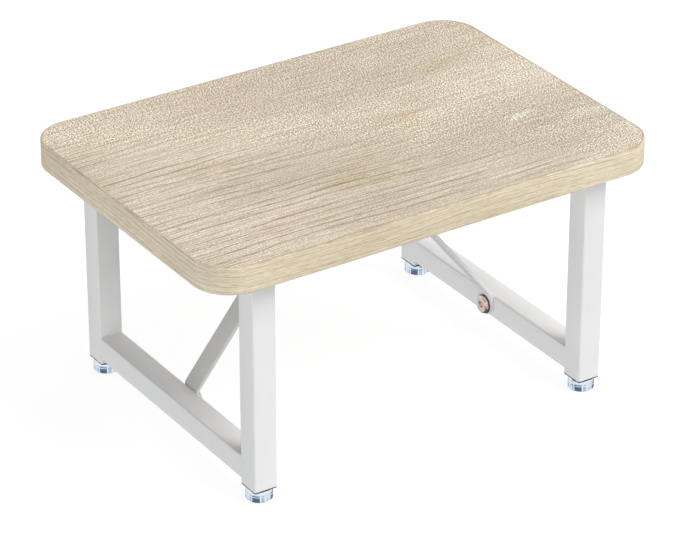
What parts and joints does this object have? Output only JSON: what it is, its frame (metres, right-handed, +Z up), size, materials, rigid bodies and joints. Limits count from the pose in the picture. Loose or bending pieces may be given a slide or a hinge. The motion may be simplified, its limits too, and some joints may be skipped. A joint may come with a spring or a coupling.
{
  "type": "monitor riser stand",
  "caption": "Low desk riser: rounded wood-laminate board on two welded square-tube frames joined by a bent strip brace, with screw-out levelling feet.",
  "frame": {"origin": "on the floor under the middle of the board, feet screwed right in", "axes": "+X to the right along the board's length, -Y towards the user, +Z up"},
  "size_m": [0.4, 0.28, 0.214],
  "materials": {
    "oak_laminate": "matt printed oak decor with fine open pores",
    "oak_edge_band": "matt oak decor edging, grain along the edge",
    "backing_laminate": "plain matt backing foil",
    "particle_board": "raw pressed chips",
    "powder_coat": "satin light-grey powder coat with fine texture",
    "foot_chrome": "bright chrome plate",
    "zinc_plate": "bright zinc plate",
    "copper_plate": "rose copper plate, satin",
    "black_plastic": "matt black moulded plastic",
    "pad_plastic": "dark grey moulded nylon"
  },
  "bodies": {
    "stand": {"tabletop_core": "particle_board", "tabletop_top_laminate": "oak_laminate", "tabletop_bottom_laminate": "backing_laminate", "tabletop_edge_band": "oak_edge_band", "brace_strip": "powder_coat", "brace_screws": "zinc_plate", "left_low_rail": "powder_coat", "left_top_rail": "powder_coat", "left_rivet_nut": "zinc_plate", "left_brace_washer": "black_plastic", "left_brace_bolt": "copper_plate", "left_frame_bolts": "zinc_plate", "left_board_inserts": "zinc_plate", "right_low_rail": "powder_coat", "right_top_rail": "powder_coat", "right_rivet_nut": "zinc_plate", "right_brace_washer": "black_plastic", "right_brace_bolt": "copper_plate", "right_frame_bolts": "zinc_plate", "right_board_inserts": "zinc_plate", "front_left_leg": "powder_coat", "front_left_plug": "black_plastic", "front_left_nut": "zinc_plate", "rear_left_leg": "powder_coat", "rear_left_plug": "black_plastic", "rear_left_nut": "zinc_plate", "front_right_leg": "powder_coat", "front_right_plug": "black_plastic", "front_right_nut": "zinc_plate", "rear_right_leg": "powder_coat", "rear_right_plug": "black_plastic", "rear_right_nut": "zinc_plate"},
    "front_left_pad": {"front_left_foot_pad": "pad_plastic"},
    "front_left_screw": {"front_left_foot_cap": "foot_chrome", "front_left_foot_stem": "zinc_plate"},
    "rear_left_pad": {"rear_left_foot_pad": "pad_plastic"},
    "rear_left_screw": {"rear_left_foot_cap": "foot_chrome", "rear_left_foot_stem": "zinc_plate"},
    "front_right_pad": {"front_right_foot_pad": "pad_plastic"},
    "front_right_screw": {"front_right_foot_cap": "foot_chrome", "front_right_foot_stem": "zinc_plate"},
    "rear_right_pad": {"rear_right_foot_pad": "pad_plastic"},
    "rear_right_screw": {"rear_right_foot_cap": "foot_chrome", "rear_right_foot_stem": "zinc_plate"}
  },
  "joints": [
    {"name": "front_left_foot_rise", "type": "slide", "parent": "stand", "child": "front_left_pad", "axis": [0, 0, -1], "range_m": [0, 0.01]},
    {"name": "front_left_foot_turn", "type": "hinge", "parent": "front_left_pad", "child": "front_left_screw", "pos_m": [-0.15, -0.115, 0], "axis": [0, 0, -1], "range_deg": [0, 2880]},
    {"name": "rear_left_foot_rise", "type": "slide", "parent": "stand", "child": "rear_left_pad", "axis": [0, 0, -1], "range_m": [0, 0.01]},
    {"name": "rear_left_foot_turn", "type": "hinge", "parent": "rear_left_pad", "child": "rear_left_screw", "pos_m": [-0.15, 0.115, 0], "axis": [0, 0, -1], "range_deg": [0, 2880]},
    {"name": "front_right_foot_rise", "type": "slide", "parent": "stand", "child": "front_right_pad", "axis": [0, 0, -1], "range_m": [0, 0.01]},
    {"name": "front_right_foot_turn", "type": "hinge", "parent": "front_right_pad", "child": "front_right_screw", "pos_m": [0.15, -0.115, 0], "axis": [0, 0, -1], "range_deg": [0, 2880]},
    {"name": "rear_right_foot_rise", "type": "slide", "parent": "stand", "child": "rear_right_pad", "axis": [0, 0, -1], "range_m": [0, 0.01]},
    {"name": "rear_right_foot_turn", "type": "hinge", "parent": "rear_right_pad", "child": "rear_right_screw", "pos_m": [0.15, 0.115, 0], "axis": [0, 0, -1], "range_deg": [0, 2880]}
  ],
  "couplings": [
    {"joint": "front_left_foot_rise", "follows": "front_left_foot_turn", "m_per_rad": 0.00019894},
    {"joint": "rear_left_foot_rise", "follows": "rear_left_foot_turn", "m_per_rad": 0.00019894},
    {"joint": "front_right_foot_rise", "follows": "front_right_foot_turn", "m_per_rad": 0.00019894},
    {"joint": "rear_right_foot_rise", "follows": "rear_right_foot_turn", "m_per_rad": 0.00019894}
  ]
}
